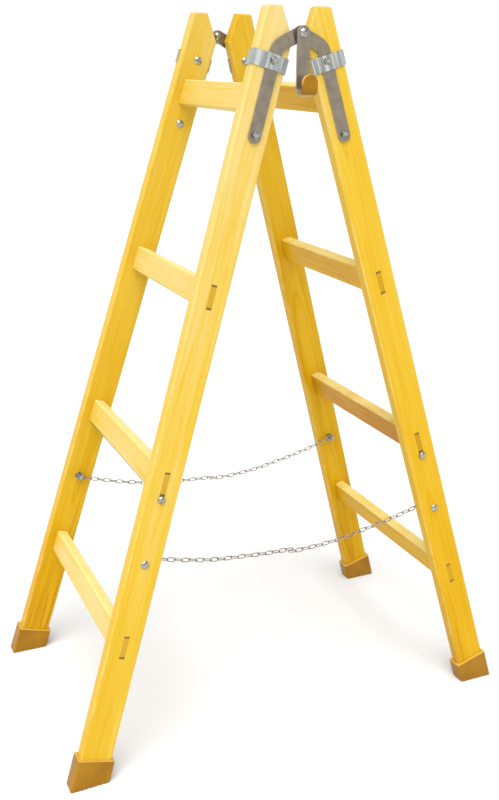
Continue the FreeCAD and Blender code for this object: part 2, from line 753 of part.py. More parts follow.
def hinge_parts():
    """Straps, cuffs, rivets, hook and cap."""
    nodes = {}
    straps = {
        "front": strap(FRONT_PLATE_Y, RIVET_R),
        "rear": strap(REAR_PLATE_Y, RIVET_R + RUNNING_FIT),
    }
    wide_cuff = cuff(CUFF_LONG, CUFF_SHORT)
    for frame in FRAMES:
        for side in SIDES:
            nodes[f"{frame}_hinge_strap_{side}"] = to_world(straps[frame], frame, side)
            nodes[f"{frame}_hinge_cuff_{side}"] = to_world(wide_cuff, frame, side)
    nodes["front_hinge_cuff_far"] = to_world(cuff(CUFF_SHORT, CUFF_LONG), "front", "far")
    outer = {"near": HOOK_Y + HOOK_T + RIVET_GAP, "far": FRONT_PLATE_Y + STRAP_T + RIVET_GAP}
    for side in SIDES:
        nodes[f"hinge_rivet_{side}"] = upright(rivet(outer[side]), side)
    nodes["hook_spacer"] = upright(spacer(), "near")
    nodes["bucket_hook"] = upright(hook(), "near")
    nodes["hook_tip_cap"] = upright(hook_cap(), "near")
    return nodes


def upright(shape, side):
    """From the +y side on the hinge axis to the ladder's own coordinates."""
    moved = shape.copy()
    if side == "near":
        moved = moved.mirror(V(0, 0, 0), V(0, 1, 0))
    moved.translate(V(0, 0, PIVOT_Z))
    return moved


def fastener_parts():
    """Bolts, nuts, washers and tie rods of both frames."""
    nodes = {}
    for frame in FRAMES:
        nodes[f"{frame}_hinge_bolts"] = both_sides(hinge_bolts(), frame)
        nodes[f"{frame}_hinge_nuts"] = both_sides(hinge_nuts(), frame)
        nodes[f"{frame}_tie_rod"] = to_world(tie_rod(), frame)
        nodes[f"{frame}_tie_rod_nuts"] = both_sides([tie_rod_nut()], frame)
        nodes[f"{frame}_chain_bolts"] = both_sides([chain_bolt()], frame)
        nodes[f"{frame}_chain_nuts"] = both_sides(chain_nuts(), frame)
        nodes[f"{frame}_chain_washers"] = both_sides(chain_washers(), frame)
    return nodes


def chain_parts():
    """The four chain halves."""
    return {f"chain_{side}_{frame}": chain_half(frame, side) for side in SIDES for frame in FRAMES}


def main():
    """Write one STEP file per node."""
    nodes = {}
    nodes.update(wooden_parts())
    nodes.update(hinge_parts())
    nodes.update(fastener_parts())
    nodes.update(chain_parts())
    os.makedirs("parts", exist_ok=True)
    for name, shape in sorted(nodes.items()):
        shape.exportStep(f"parts/{name}.step")
        solids = shape.Solids
        volume = sum(s.Volume for s in solids)
        valid = all(s.isValid() for s in solids)
        print(f"{name:26s} {len(solids):3d} solids {volume:12.1f} mm3 valid {valid}")


main()
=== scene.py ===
"""Looks of a double-sided wooden step ladder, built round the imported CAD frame.

Metres, in the frame's own axes: +Z up, the front frame at -X, the rear frame at
+X, the near side at -Y. The CAD solids stay and get procedural materials and
softened edges, except the chains and the hexagon nuts, which are rebuilt here in
finer detail.
"""

import bmesh
import bpy
import json
import math
import numpy
import random
from mathutils import Matrix, Vector


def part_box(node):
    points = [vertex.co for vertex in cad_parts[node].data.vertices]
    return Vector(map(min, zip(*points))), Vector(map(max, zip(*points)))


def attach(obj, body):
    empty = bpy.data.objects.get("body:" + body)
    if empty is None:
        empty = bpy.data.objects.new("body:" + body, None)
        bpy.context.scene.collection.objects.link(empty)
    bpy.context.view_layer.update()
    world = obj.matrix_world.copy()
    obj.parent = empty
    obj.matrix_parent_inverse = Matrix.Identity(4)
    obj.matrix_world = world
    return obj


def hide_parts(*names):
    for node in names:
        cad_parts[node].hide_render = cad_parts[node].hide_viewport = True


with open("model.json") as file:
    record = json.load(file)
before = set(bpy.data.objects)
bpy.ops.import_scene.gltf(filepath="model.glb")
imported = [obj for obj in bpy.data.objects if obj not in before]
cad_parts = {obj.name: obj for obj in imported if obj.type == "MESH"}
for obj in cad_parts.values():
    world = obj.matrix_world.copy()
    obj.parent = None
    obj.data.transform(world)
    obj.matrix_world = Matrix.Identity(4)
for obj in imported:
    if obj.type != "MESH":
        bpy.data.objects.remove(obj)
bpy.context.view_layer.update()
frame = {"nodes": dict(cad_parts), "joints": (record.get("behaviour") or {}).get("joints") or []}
scene = bpy.context.scene
nodes = frame["nodes"]
joints = {j["name"]: j for j in frame["joints"]}

# ---------------------------------------------------------------- the ladder's layout
MM = 0.001
PIVOT = Vector(joints["fold"]["pos_m"])
LEAN = math.radians(16.6)
SPLAY = math.atan(0.061)
HINGE_GAP = 7.5 * MM
HALF_WIDTH = 148.0 * MM
STILE_W = 52.0 * MM
STILE_T = 20.0 * MM
RUNG_H = 41.0 * MM
RUNG_D = 19.0 * MM
NUT_FLATS = 10.0 * MM
X_MID = HINGE_GAP + STILE_W / 2

FRAMES = ("front", "rear")
SIDES = ("near", "far")


def frame_matrix(which):
    """From upright frame coordinates on the hinge axis to the ladder's own."""
    turned = Matrix.Rotation(math.pi, 4, "Z") if which == "front" else Matrix.Identity(4)
    return Matrix.Translation(PIVOT) @ turned @ Matrix.Rotation(-LEAN, 4, "Y")


def side_sign(which, side):
    """The stile's side in frame coordinates: the front frame is turned round."""
    near = 1 if which == "front" else -1
    return near if side == "near" else -near


def board_matrix(which, side):
    """From a stile's own coordinates, z along it and y out of its wide face.

    On the -y side the board's y axis is turned round with a rotation, so the
    board keeps its handedness and x runs the other way.
    """
    sign = side_sign(which, side)
    place = Matrix.Translation(Vector((X_MID, sign * (HALF_WIDTH - STILE_T / 2), 0)))
    return frame_matrix(which) @ place @ Matrix.Rotation(sign * SPLAY, 4, "X")


# ---------------------------------------------------------------- node helpers
class Tree:
    """A material's nodes, added and linked in one call each."""

    def __init__(self, name):
        self.material = bpy.data.materials.new(name)
        self.material.use_nodes = True
        self.tree = self.material.node_tree
        self.tree.nodes.clear()
        out = self.tree.nodes.new("ShaderNodeOutputMaterial")
        self.surface = self.tree.nodes.new("ShaderNodeBsdfPrincipled")
        self.tree.links.new(self.surface.outputs[0], out.inputs["Surface"])

    def put(self, value, socket):
        """Link an output to a socket, or set the socket to a plain value."""
        if isinstance(value, bpy.types.NodeSocket):
            self.tree.links.new(value, socket)
        elif socket.type == "RGBA":
            socket.default_value = (tuple(value) + (1.0,))[:4]
        else:
            socket.default_value = value

    def set(self, **values):
        """Inputs of the surface shader, underscores for spaces."""
        for key, value in values.items():
            self.put(value, self.surface.inputs[key.replace("_", " ")])

    def math(self, operation, a, b=0.0, c=0.0):
        node = self.tree.nodes.new("ShaderNodeMath")
        node.operation = operation
        for socket, value in zip(node.inputs, (a, b, c)):
            self.put(value, socket)
        return node.outputs[0]

    def swing(self, noise, amount, base):
        """A value moved up and down by a noise about its middle."""
        return self.math("MULTIPLY_ADD", self.math("SUBTRACT", noise, 0.5), amount, base)

    def vector(self, operation, a, b=(0, 0, 0)):
        node = self.tree.nodes.new("ShaderNodeVectorMath")
        node.operation = operation
        self.put(a, node.inputs[0])
        if operation == "SCALE":
            self.put(b, node.inputs["Scale"])
        else:
            self.put(b, node.inputs[1])
        return node.outputs["Value" if operation in ("LENGTH", "DOT_PRODUCT") else "Vector"]

    def split(self, vector):
        node = self.tree.nodes.new("ShaderNodeSeparateXYZ")
        self.put(vector, node.inputs[0])
        return node.outputs

    def join(self, x, y, z):
        node = self.tree.nodes.new("ShaderNodeCombineXYZ")
        for socket, value in zip(node.inputs, (x, y, z)):
            self.put(value, socket)
        return node.outputs[0]

    def noise(self, vector, scale=1.0, detail=3.0, roughness=0.5, distortion=0.0):
        node = self.tree.nodes.new("ShaderNodeTexNoise")
        self.put(vector, node.inputs["Vector"])
        node.inputs["Scale"].default_value = scale
        node.inputs["Detail"].default_value = detail
        node.inputs["Roughness"].default_value = roughness
        node.inputs["Distortion"].default_value = distortion
        return node.outputs[0]

    def cells(self, vector, scale):
        """Small cells, each with a random colour of its own."""
        node = self.tree.nodes.new("ShaderNodeTexVoronoi")
        self.put(vector, node.inputs["Vector"])
        node.inputs["Scale"].default_value = scale
        return node.outputs["Color"]

    def ramp(self, value, stops, ease="LINEAR"):
        """Colour or grey ramp: stops are (position, colour or number)."""
        node = self.tree.nodes.new("ShaderNodeValToRGB")
        node.color_ramp.interpolation = ease
        elements = node.color_ramp.elements
        while len(elements) < len(stops):
            elements.new(0.5)
        for element, (position, colour) in zip(elements, stops):
            element.position = position
            grey = isinstance(colour, (int, float))
            element.color = (colour,) * 3 + (1,) if grey else tuple(colour) + (1,)
        self.put(value, node.inputs[0])
        return node.outputs[0]

    def mix(self, factor, a, b):
        node = self.tree.nodes.new("ShaderNodeMix")
        node.data_type = "RGBA"
        self.put(factor, node.inputs[0])
        self.put(a, node.inputs[6])
        self.put(b, node.inputs[7])
        return node.outputs[2]

    def range(self, value, low, high, to_low=0.0, to_high=1.0):
        """A value eased from one range into another."""
        node = self.tree.nodes.new("ShaderNodeMapRange")
        node.interpolation_type = "SMOOTHSTEP"
        for socket, number in zip(node.inputs, (value, low, high, to_low, to_high)):
            self.put(number, socket)
        return node.outputs[0]

    def place(self, matrix, offset=(0, 0, 0)):
        """Object coordinates taken into a piece's own axes, in metres."""
        node = self.tree.nodes.new("ShaderNodeTexCoord")
        rows = matrix.inverted()
        centred = self.vector("SUBTRACT", node.outputs["Object"], tuple(matrix.translation))
        parts = [self.vector("DOT_PRODUCT", centred, tuple(rows[i][:3])) for i in range(3)]
        return self.vector("ADD", self.join(*parts), offset)

    def facing(self, axis):
        """How squarely the surface faces along an axis of the object, 0 to 1."""
        node = self.tree.nodes.new("ShaderNodeTexCoord")
        along = self.vector("DOT_PRODUCT", node.outputs["Normal"], tuple(axis))
        return self.math("ABSOLUTE", along)

    def bump(self, height, strength, distance, normal=None):
        node = self.tree.nodes.new("ShaderNodeBump")
        node.inputs["Strength"].default_value = strength
        node.inputs["Distance"].default_value = distance
        self.put(height, node.inputs["Height"])
        if normal is not None:
            self.put(normal, node.inputs["Normal"])
        return node.outputs[0]


def srgb(red, green, blue):
    """Linear colour from 8 bit display values."""
    linear = []
    for value in (red, green, blue):
        c = value / 255
        linear.append(c / 12.92 if c <= 0.04045 else ((c + 0.055) / 1.055) ** 2.4)
    return tuple(linear)


# ---------------------------------------------------------------- wood
UPRIGHT_LIGHT = 1.40          # how much light reaches an upright face


def under_light(red, green, blue):
    """Surface colour that looks like the given display values in this light."""
    return tuple(value / UPRIGHT_LIGHT for value in srgb(red, green, blue))


PALE_STAIN = under_light(250, 225, 152)
GOLD_STAIN = under_light(246, 204, 64)
DEEP_STAIN = under_light(236, 182, 2)
DARK_STAIN = under_light(204, 138, 1)
STAINS = [(0.0, PALE_STAIN), (0.36, GOLD_STAIN), (0.72, DEEP_STAIN), (1.0, DARK_STAIN)]
END_GRAIN = under_light(214, 168, 30)
RUBBED_WOOD = under_light(255, 236, 160)
# pale wood on the rung tops: partly tread wear, partly painted highlight
TREAD_WEAR_AND_HIGHLIGHT = under_light(255, 240, 158)

# spots per metre in each pattern of the wood: across the grain, along it
WANDER = (9, 1.6)
RING_FADE = (14, 2.6)
PATCH = (30, 4.0)
STREAK = (820, 5.0)
FIBRE = (1250, 15)
RUBBING = (60, 22)
DENTS = (75, 45)
PORES = (1500, 1500)

PITH_X = 16.0 * MM            # the pith's place, across the wide face and out of it
PITH_Y = (45.0 * MM, 75.0 * MM)
WANDER_X = 24.0 * MM          # how far the rings' centre wanders
WANDER_Y = 17.0 * MM
RAGGED = 0.5 * MM             # how far single fibres break a ring's edge
UNEVEN_SPOTS = 75             # per metre of radius
UNEVEN_RINGS = 2.2            # rings gained or lost there
LATE_WOOD = [(0.0, 0.16), (0.18, 0.0), (0.55, 0.12), (0.84, 0.6), (0.95, 1.0), (1.0, 0.3)]

PATCH_DEPTH = 0.5             # what each pattern adds to the depth of the stain
STREAK_DEPTH = 0.62
LATE_DEPTH = 0.2
FLECK = 0.30                  # share of the dark stain in the coarsest fibres

CORNER_WEAR = 4.2 * MM        # rubbing starts this far from a board's corner lines
CORNER_CORE = 0.8 * MM
TREAD_HIGHLIGHT_REACH = 2.6 * MM         # tread wear and a painted highlight reach this far down over a rung's upper corners


def stretched(t, point, across, along, detail=2.0, roughness=0.5, seed=0.0):
    """Noise drawn out along a board: spots per metre across it and along it."""
    x, y, z = point
    moved = t.math("MULTIPLY_ADD", x, across, seed)
    drawn = t.join(moved, t.math("MULTIPLY", y, across), t.math("MULTIPLY", z, along))
    return t.noise(drawn, 1.0, detail, roughness)


def growth_rings(t, point, pith, fibre, ring, shift):
    """Strength of the late wood, in rings whose centre wanders along the board."""
    x, y, _ = point
    wander_x = stretched(t, point, *WANDER, seed=shift)
    wander_y = stretched(t, point, *WANDER, seed=shift + 7)
    ring_x = t.swing(wander_x, WANDER_X, t.math("ADD", x, pith[0]))
    ring_y = t.swing(wander_y, WANDER_Y, t.math("ADD", y, pith[1]))
    radius = t.swing(fibre, RAGGED, t.vector("LENGTH", t.join(ring_x, ring_y, 0.0)))
    uneven = t.noise(t.join(t.math("MULTIPLY", radius, UNEVEN_SPOTS), shift, 0.0), 1.0, 1.0)
    count = t.math("MULTIPLY_ADD", uneven, UNEVEN_RINGS, t.math("DIVIDE", radius, ring * MM))
    late = t.ramp(t.math("FRACT", count), LATE_WOOD, "EASE")
    fade = t.range(stretched(t, point, *RING_FADE, seed=shift), 0.3, 0.7, 0.3, 1.0)
    return t.math("MULTIPLY", late, fade)


def varnish(t, point, stain, late, fibre, shift):
    """Yellow, deeper down the board, in broad patches, in late wood and in fine streaks."""
    depth = t.math("MULTIPLY_ADD", point[2], -stain[1], stain[0])
    depth = t.swing(stretched(t, point, *PATCH, 3.0, 0.55, shift), PATCH_DEPTH, depth)
    depth = t.math("MULTIPLY_ADD", late, LATE_DEPTH, depth)
    depth = t.swing(stretched(t, point, *STREAK, 3.0, 0.6, shift), STREAK_DEPTH, depth)
    return t.mix(t.range(fibre, 0.60, 0.78, 0.0, FLECK), t.ramp(depth, STAINS), DARK_STAIN)


def end_grain(t, point, axis, late, colour):
    """The board's colour, with the stain that its cut ends drink."""
    pores = stretched(t, point, *PORES, 2.0, 0.6)
    dark = t.math("MULTIPLY", t.math("ADD", late, pores), 0.34)
    cut = t.math("MULTIPLY", t.range(t.facing(axis), 0.55, 0.9), 0.8)
    return t.mix(cut, colour, t.mix(dark, END_GRAIN, DARK_STAIN))


def corner_wear(t, point, half_size, rubbed):
    """How far the varnish is rubbed off along the board's corners."""
    near = [t.range(t.math("ABSOLUTE", at), half - CORNER_WEAR, half - CORNER_CORE)
            for at, half in zip(point, half_size)]
    return t.math("MULTIPLY", t.math("MULTIPLY", *near), t.range(rubbed, 0.44, 0.62, 0.05, 0.4))


def pine(name, matrix, half_size, stain, seed, ring, tread_and_highlight=0.0):
    """Yellow varnished pine with its grain along the matrix's z axis.

    half_size is the board's half width and half thickness. stain is the depth
    of its yellow at the origin, 0 pale to 1 deep, and how much that grows per
    metre down the board; from board to board it is partly stain and partly
    painted shade. ring is the growth rings' spacing in mm. tread_and_highlight
    is how far the upper narrow face and its corners are paled: partly shoes
    wearing the varnish, partly a painted highlight on the lit top.
    """
    t = Tree(name)
    rng = random.Random(seed)
    shift = rng.uniform(3, 40)
    pith_x = rng.uniform(-PITH_X, PITH_X)
    pith_y = rng.choice((-1, 1)) * rng.uniform(*PITH_Y)
    point = t.split(t.place(matrix))
    fibre = stretched(t, point, *FIBRE, 2.0, 0.6)
    late = growth_rings(t, point, (pith_x, pith_y), fibre, ring, shift)
    colour = varnish(t, point, stain, late, fibre, shift)
    colour = end_grain(t, point, matrix.to_3x3().col[2], late, colour)
    rubbed = stretched(t, point, *RUBBING, 4.0, 0.7, shift)
    worn = corner_wear(t, point, half_size, rubbed)
    # the rung's top paled: partly tread wear, partly a painted highlight where the overhead light
    # falls
    if tread_and_highlight:
        upper = t.range(point[0], half_size[0] - TREAD_HIGHLIGHT_REACH, half_size[0] - CORNER_CORE)
        upper = t.math("MULTIPLY", upper, t.range(rubbed, 0.3, 0.6, 0.55 * tread_and_highlight, tread_and_highlight))
        colour = t.mix(upper, colour, TREAD_WEAR_AND_HIGHLIGHT)
    colour = t.mix(worn, colour, RUBBED_WOOD)
    height = t.math("ADD", t.math("MULTIPLY", late, 0.5), t.math("MULTIPLY", fibre, 0.5))
    grain = t.bump(height, 0.25, 0.4 * MM)
    dents = stretched(t, point, *DENTS, 2.0, 0.4, shift + 3)
    rough = t.math("MULTIPLY_ADD", worn, 0.2, t.math("MULTIPLY_ADD", rubbed, 0.16, 0.28))
    t.set(Base_Color=colour, Roughness=rough, Specular_IOR_Level=0.12, Coat_Weight=0.05,
          Coat_Roughness=0.15, Normal=t.bump(dents, 0.18, 1.2 * MM, grain))
    return t.material


def wedge_wood():
    """Darker beech wedges, mostly seen as end grain."""
    t = Tree("wedge_beech")
    point = t.split(t.place(Matrix.Identity(4)))
    pores = stretched(t, point, 1600, 1600, 2.0, 0.6)
    bands = stretched(t, point, 240, 240, 2.0, 0.5)
    dark = t.math("MULTIPLY_ADD", pores, 0.5, t.math("MULTIPLY", bands, 0.5))
    colour = t.ramp(dark, [(0.32, under_light(118, 86, 8)), (0.66, under_light(160, 120, 18))])
    t.set(Base_Color=colour, Roughness=t.math("MULTIPLY_ADD", pores, 0.25, 0.4),
          Normal=t.bump(pores, 0.4, 0.3 * MM))
    return t.material


# ---------------------------------------------------------------- metal and plastic
TAUPE = [(0.32, srgb(126, 118, 104)), (0.52, srgb(141, 131, 115)), (0.72, srgb(154, 145, 130))]
TAUPE_SPECK = srgb(176, 168, 158)
DRAWN_LINE = srgb(104, 95, 84)
# painted highlight along the flat bars' sheared edges
EDGE_HIGHLIGHT = srgb(214, 210, 202)
SPANGLE = srgb(226, 230, 230)
SPANGLE_SHARE = 0.08

AMBER = [(0.3, under_light(166, 114, 3)), (0.55, under_light(180, 127, 5)),
         (0.75, under_light(190, 138, 9))]
AMBER_GRAIN = under_light(156, 104, 3)
AMBER_SCUFF = under_light(150, 112, 44)
# painted highlight along the boots' rims and round the cap's narrow edge
AMBER_RIM_HIGHLIGHT = under_light(240, 196, 92)
SCUFF_HEIGHT = 20.0 * MM      # above the floor
RIM_HIGHLIGHT_BAND = 1.7 * MM
CAP_HIGHLIGHT_FROM = 72.0 * MM     # below the hinge axis


def flat_bar(name, matrix, seed):
    """Dull zinc on flat bar: taupe grey, faintly mottled, drawn along its length.

    The sheared edges, square to the matrix's y axis, carry a painted highlight that makes them
    brighter than the flats.
    """
    t = Tree(name)
    place = t.place(matrix, (seed, 0, 0))
    point = t.split(place)
    blotch = t.noise(place, 70.0, 5.0, 0.55, 0.2)
    fine = t.noise(place, 900.0, 3.0, 0.6)
    drawn = stretched(t, point, 1500, 40, 2.0)
    colour = t.ramp(blotch, TAUPE)
    colour = t.mix(t.range(fine, 0.55, 0.75, 0.0, 0.3), colour, TAUPE_SPECK)
    colour = t.mix(t.range(drawn, 0.56, 0.8, 0.0, 0.12), colour, DRAWN_LINE)
    # painted highlight on the narrow edges, broken up by the drawn lines
    edge = t.range(t.facing(matrix.to_3x3().col[1]), 0.25, 0.65, 0.7, 0.0)
    edge = t.math("MULTIPLY", edge, t.range(drawn, 0.3, 0.6, 0.6, 1.0))
    colour = t.mix(edge, colour, EDGE_HIGHLIGHT)
    height = t.math("MULTIPLY_ADD", fine, 0.4, t.math("MULTIPLY", blotch, 0.6))
    t.set(Base_Color=colour, Metallic=0.82, Roughness=t.math("MULTIPLY_ADD", blotch, 0.22, 0.27),
          Normal=t.bump(height, 0.25, 0.4 * MM))
    return t.material


def zinc(name, dark, bright, rough, board=None):
    """Bright zinc: cloudy, faintly spangled and finely scratched.

    A sheet bent round a board also has slow waves, and bands that run along
    the board in place of the cloud: brushing, partly painted highlight.
    """
    t = Tree(name)
    place = t.place(Matrix.Identity(4))
    cloud = t.noise(place, 190.0, 4.0, 0.6)
    spangle = t.vector("DOT_PRODUCT", t.cells(place, 900.0), (0.33, 0.33, 0.33))
    fine = t.noise(place, 1500.0, 3.0, 0.6)
    cloud_and_sheen_bands = t.range(cloud, 0.3, 0.7)
    normal = t.bump(fine, 0.12, 0.2 * MM)
    if board is not None:
        point = t.split(t.place(board))
        # dark and bright bands along the board: brushing, partly painted highlight
        cloud_and_sheen_bands = t.range(stretched(t, point, 170, 9, 2.0, 0.5), 0.36, 0.66)
        normal = t.bump(stretched(t, point, 110, 12, 1.0, 0.4), 0.4, 1.0 * MM, normal)
    colour = t.mix(cloud_and_sheen_bands, dark, bright)
    colour = t.mix(t.math("MULTIPLY", spangle, SPANGLE_SHARE), colour, SPANGLE)
    uneven = t.math("MULTIPLY_ADD", cloud, 0.12, rough)
    uneven = t.math("MULTIPLY_ADD", spangle, 0.06, uneven)
    t.set(Base_Color=colour, Metallic=1.0, Roughness=uneven, Normal=normal)
    return t.material


def amber_plastic(name, matrix=None, rim=0.0):
    """Moulded amber plastic, slightly translucent, scuffed near the floor.

    A boot, which has its board's matrix, gets a painted highlight along its
    thin rim, at that depth below the board's origin. The hook's cap gets a
    painted highlight round its narrow edge.
    """
    t = Tree(name)
    place = t.place(Matrix.Identity(4))
    z = t.split(place)[2]
    flow = t.noise(place, 30.0, 3.0, 0.5)
    grain = t.noise(place, 1100.0, 3.0, 0.6)
    scuff = t.noise(t.vector("MULTIPLY", place, (1, 1, 4)), 170.0, 5.0, 0.7)
    colour = t.mix(t.range(grain, 0.5, 0.75, 0.0, 0.3), t.ramp(flow, AMBER), AMBER_GRAIN)
    low = t.math("MULTIPLY", t.range(z, 0.0, SCUFF_HEIGHT, 1.0, 0.0), t.range(scuff, 0.48, 0.68))
    colour = t.mix(t.math("MULTIPLY", low, 0.4), colour, AMBER_SCUFF)
    # painted highlight: along a boot's rim, or round the cap's narrow edge above a height
    if matrix is not None:
        depth = t.math("ADD", t.split(t.place(matrix))[2], rim)
        edge = t.math("MULTIPLY", t.range(depth, -RIM_HIGHLIGHT_BAND, -RIM_HIGHLIGHT_BAND / 3), 0.75)
    else:
        highlight_from = PIVOT.z - CAP_HIGHLIGHT_FROM
        side_on = t.range(t.facing((0, 1, 0)), 0.35, 0.8, 0.8, 0.0)
        edge = t.math("MULTIPLY", side_on, t.range(z, highlight_from, highlight_from + RIM_HIGHLIGHT_BAND * 3))
    colour = t.mix(edge, colour, AMBER_RIM_HIGHLIGHT)
    rough = t.math("MULTIPLY_ADD", low, 0.3, t.math("MULTIPLY_ADD", grain, 0.12, 0.32))
    height = t.math("MULTIPLY_ADD", low, 2.0, grain)
    t.set(Base_Color=colour, Roughness=rough, Subsurface_Weight=0.1,
          Subsurface_Radius=(0.006, 0.004, 0.0015), Subsurface_Scale=0.5,
          Specular_IOR_Level=0.22, Normal=t.bump(height, 0.2, 0.3 * MM))
    return t.material


# ---------------------------------------------------------------- materials on the CAD nodes
def give(node, material):
    """One material on a CAD node."""
    mesh = nodes[node].data
    mesh.materials.clear()
    mesh.materials.append(material)


def round_edges(made, name, width, segments, sharp_from):
    """Bevel the edges of an object that turn by more than an angle in degrees."""
    bevel = made.modifiers.new(name, "BEVEL")
    bevel.width = width
    bevel.segments = segments
    bevel.limit_method = "ANGLE"
    bevel.angle_limit = math.radians(sharp_from)
    bevel.harden_normals = True


SAME_POINT = 0.01 * MM
FLAT_WITHIN = 0.25            # degrees: facets this level are one flat face
SHARP_FROM = 40               # degrees


def soften(node, width, segments=2):
    """Round the sharp edges of a CAD node with modifiers, its flat facets joined first."""
    made = nodes[node]
    weld = made.modifiers.new("weld", "WELD")
    weld.merge_threshold = SAME_POINT
    merge = made.modifiers.new("merge", "DECIMATE")
    merge.decimate_type = "DISSOLVE"
    merge.angle_limit = math.radians(FLAT_WITHIN)
    round_edges(made, "bevel", width, segments, SHARP_FROM)
    flat = made.modifiers.new("flat", "WEIGHTED_NORMAL")
    flat.keep_sharp = True


def rung_matrix(which, node):
    """A rung's own axes: z along it, x up its wide face and y out of that face."""
    low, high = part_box(node)
    turn = frame_matrix(which).to_3x3() @ Matrix(((0, 1, 0), (0, 0, 1), (1, 0, 0)))
    return Matrix.Translation((low + high) / 2) @ turn.to_4x4()


# depth of each stile's yellow at the hinge axis, and its growth per metre down. Besides the stain,
# the differences from stile to stile are painted shade: the near front stile, most in the light, is
# palest
STILE_STAIN_AND_SHADE = {"front_near": (0.09, 0.38), "front_far": (0.26, 0.42),
               "rear_near": (0.28, 0.38), "rear_far": (0.50, 0.20)}
# rung yellow per frame: the rear rungs' deeper yellow is partly stain and partly painted shade for
# the dimmer rear frame
RUNG_STAIN_AND_SHADE = {"front": 0.18, "rear": 0.66}
DEEPER_RUNG = {"rear_rung_3": 0.24}
# how strongly each frame's rung tops get tread wear and painted highlight
RUNG_TREAD_AND_HIGHLIGHT = {"front": 0.75, "rear": 0.70}
RUNG_COUNT = 4
STILE_RING = 2.5
RUNG_RING = 2.2
STILE_EDGE = 0.5 * MM         # rounding of each kind of piece
RUNG_EDGE = 0.4 * MM
BOOT_EDGE = 0.6 * MM
BAR_EDGE = 0.5 * MM
SHEET_EDGE = 0.35 * MM
FASTENER_EDGE = 0.25 * MM
RIVET_EDGE = 0.3 * MM
CAP_EDGE = 0.3 * MM
RIM_LEVEL = 1134.0 * MM       # boots' rims below the hinge axis


def dress_wood():
    """Every board its own piece of pine, and the wedges."""
    wedges = wedge_wood()
    for w, which in enumerate(FRAMES):
        for s, side in enumerate(SIDES):
            node = f"{which}_stile_{side}"
            stain = STILE_STAIN_AND_SHADE[f"{which}_{side}"]
            size = (STILE_W / 2, STILE_T / 2)
            seed = 11 + 7 * w + 3 * s
            give(node, pine(f"pine_{node}", board_matrix(which, side), size, stain, seed, STILE_RING))
            soften(node, STILE_EDGE)
        for i in range(1, RUNG_COUNT + 1):
            node = f"{which}_rung_{i}"
            stain = (RUNG_STAIN_AND_SHADE[which] + DEEPER_RUNG.get(node, 0.0), 0.0)
            size = (RUNG_H / 2, RUNG_D / 2)
            seed = 61 + 13 * w + 5 * i
            give(node, pine(f"pine_{node}", rung_matrix(which, node), size, stain, seed, RUNG_RING,
                            RUNG_TREAD_AND_HIGHLIGHT[which]))
            soften(node, RUNG_EDGE)
        give(f"{which}_rung_wedges", wedges)


def dress_plastic():
    """Boots and the hook's cap."""
    rim = RIM_LEVEL * math.hypot(1.0, math.tan(SPLAY))
    for which in FRAMES:
        for side in SIDES:
            node = f"{which}_foot_{side}"
            give(node, amber_plastic(f"plastic_{node}", board_matrix(which, side), rim))
            soften(node, BOOT_EDGE, 3)
    give("hook_tip_cap", amber_plastic("plastic_cap"))
    soften("hook_tip_cap", CAP_EDGE)


bright_zinc = zinc("bright_zinc", srgb(138, 136, 128), srgb(186, 186, 180), 0.12)
dull_zinc = zinc("dull_zinc", srgb(110, 107, 99), srgb(172, 170, 162), 0.13)
chain_zinc = zinc("chain_zinc", srgb(134, 124, 108), srgb(176, 166, 150), 0.2)
# cuff sheet from its dark bands to its bright ones; the bright end is partly painted highlight
SHEET_DARK = srgb(142, 148, 144)
SHEET_BRIGHT = srgb(212, 217, 213)


def dress_metal():
    """Straps, hook, cuffs and the fasteners that stay as the CAD has them."""
    for w, which in enumerate(FRAMES):
        for s, side in enumerate(SIDES):
            board = board_matrix(which, side)
            strap = f"{which}_hinge_strap_{side}"
            give(strap, flat_bar(f"flat_bar_{which}_{side}", board, 3.1 * w + 1.7 * s))
            soften(strap, BAR_EDGE)
            cuff = f"{which}_hinge_cuff_{side}"
            give(cuff, zinc(f"sheet_{cuff}", SHEET_DARK, SHEET_BRIGHT, 0.17, board))
            soften(cuff, SHEET_EDGE)
        for part in ("hinge_bolts", "tie_rod", "tie_rod_nuts", "chain_bolts", "chain_washers"):
            give(f"{which}_{part}", bright_zinc)
            soften(f"{which}_{part}", FASTENER_EDGE)
    give("bucket_hook", flat_bar("flat_bar_hook", Matrix.Translation(PIVOT), 9.4))
    soften("bucket_hook", BAR_EDGE)
    for node in ("hinge_rivet_near", "hinge_rivet_far", "hook_spacer"):
        give(node, bright_zinc)
        soften(node, RIVET_EDGE)


# ---------------------------------------------------------------- pieces in mesh code
SAME_MESH_POINT = 0.002 * MM


def loose_parts(node):
    """The separate solids of a CAD node, each as an array of its points."""
    shape = bmesh.new()
    shape.from_mesh(nodes[node].data)
    bmesh.ops.remove_doubles(shape, verts=shape.verts, dist=SAME_MESH_POINT)
    waiting = set(shape.verts)
    parts = []
    while waiting:
        front = [waiting.pop()]
        found = []
        while front:
            vertex = front.pop()
            found.append(tuple(vertex.co))
            for edge in vertex.link_edges:
                other = edge.other_vert(vertex)
                if other in waiting:
                    waiting.discard(other)
                    front.append(other)
        parts.append(numpy.array(found))
    shape.free()
    return sorted(parts, key=lambda points: tuple(points.mean(axis=0).round(5)))


def own_axes(points):
    """Centre, axes longest first as columns, and extents of a symmetric solid."""
    middle = points.mean(axis=0)
    _, vectors = numpy.linalg.eigh(numpy.cov((points - middle).T))
    axes = vectors[:, ::-1]
    if numpy.linalg.det(axes) < 0:
        axes[:, 2] *= -1
    spread = (points - middle) @ axes
    low, high = spread.min(axis=0), spread.max(axis=0)
    return middle + axes @ ((low + high) / 2), axes, high - low


